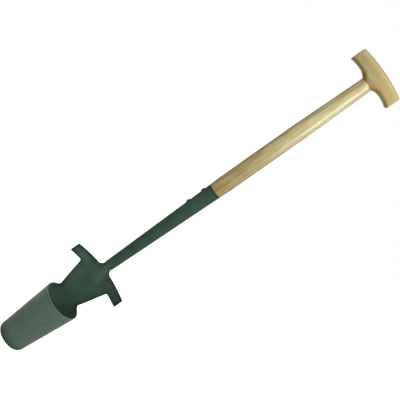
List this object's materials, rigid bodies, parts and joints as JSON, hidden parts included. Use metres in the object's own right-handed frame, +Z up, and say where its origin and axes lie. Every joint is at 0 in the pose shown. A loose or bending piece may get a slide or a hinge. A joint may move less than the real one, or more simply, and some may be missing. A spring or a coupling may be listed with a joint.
{
  "type": "long-handled bulb planter",
  "caption": "Long-handled bulb planter: a tapered steel cutter with foot treads and a riveted socket, on a turned wooden shaft with a T grip.",
  "frame": {"origin": "centre of the round cutting edge, in its plane", "axes": "+Z up along the tool from the cutting edge to the grip, -Y towards the front of the cutter, X along the treads and the grip"},
  "size_m": [0.158, 0.1229, 0.978],
  "materials": {
    "green_paint": "satin dark green powder coat on pressed steel",
    "rivet_paint": "steel rivet under the same green coat, worn on the dome",
    "ash_shaft": "turned ash with clear lacquer, grain along the shaft",
    "ash_grip": "shaped ash with clear lacquer, grain along the grip",
    "pin_steel": "plain steel pin"
  },
  "bodies": {
    "root": {"planter_head": "green_paint", "lower_rivet": "rivet_paint", "upper_rivet": "rivet_paint", "shaft": "ash_shaft", "grip": "ash_grip", "grip_pin": "pin_steel"}
  },
  "joints": []
}
